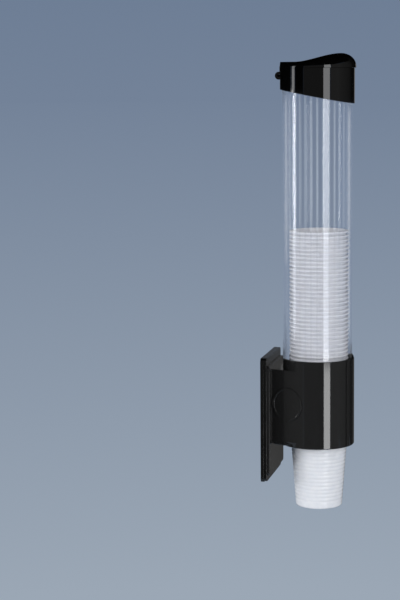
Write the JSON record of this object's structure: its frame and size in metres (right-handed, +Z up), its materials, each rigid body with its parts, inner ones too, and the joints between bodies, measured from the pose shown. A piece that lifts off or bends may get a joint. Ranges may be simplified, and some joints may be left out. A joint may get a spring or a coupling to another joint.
{
  "type": "cup dispenser",
  "caption": "Wall-mounted dispenser for disposable cups: black bracket sleeve, clear fluted tube, hinged cap and a nested stack pulled from below.",
  "frame": {"origin": "middle of the wall plate's back face", "axes": "+Z up along the tube, +Y into the wall, so the dispenser's front faces -Y"},
  "size_m": [0.096, 0.1055, 0.5367],
  "materials": {
    "plate": "fine textured moulding",
    "body": "satin moulding",
    "cap": "gloss moulding",
    "gate": "plain moulding",
    "finger": "soft elastomer",
    "magnet": "nickel plated",
    "steel": "zinc plated",
    "clear_tube": "clear, fluted",
    "cup": "thin translucent white, formed sheet"
  },
  "bodies": {
    "dispenser": {"wall_plate": "plate", "magnet_1": "magnet", "magnet_2": "magnet", "magnet_3": "magnet", "magnet_4": "magnet", "plate_screw_1": "steel", "plate_screw_2": "steel", "plate_screw_3": "steel", "plate_screw_4": "steel", "bracket_body": "body", "front_trim": "body", "side_disc_left": "body", "side_disc_right": "body", "gate_ring": "gate", "retaining_finger_1": "finger", "retaining_finger_2": "finger", "retaining_finger_3": "finger", "retaining_finger_4": "finger", "cup_tube": "clear_tube", "cap_collar": "cap", "hinge_pin": "steel"},
    "lid": {"lid": "cap"},
    "pulled_cup": {"cup_bottom": "cup"},
    "stack": {"cup_stack": "cup", "cup_top": "cup"}
  },
  "joints": [
    {"name": "lid_hinge", "type": "hinge", "parent": "dispenser", "child": "lid", "pos_m": [0, -0.0167, 0.404], "axis": [-1, 0, 0], "range_deg": [0, 100]},
    {"name": "cup_pull", "type": "slide", "parent": "dispenser", "child": "pulled_cup", "axis": [0, 0, -1], "range_m": [0, 0.1], "deforming": ["retaining_finger_1", "retaining_finger_2", "retaining_finger_3", "retaining_finger_4"]},
    {"name": "stack_drop", "type": "slide", "parent": "dispenser", "child": "stack", "axis": [0, 0, -1], "range_m": [0, 0.0048]}
  ],
  "couplings": [
    {"joint": "stack_drop", "follows": "cup_pull", "ratio": 0.048}
  ]
}
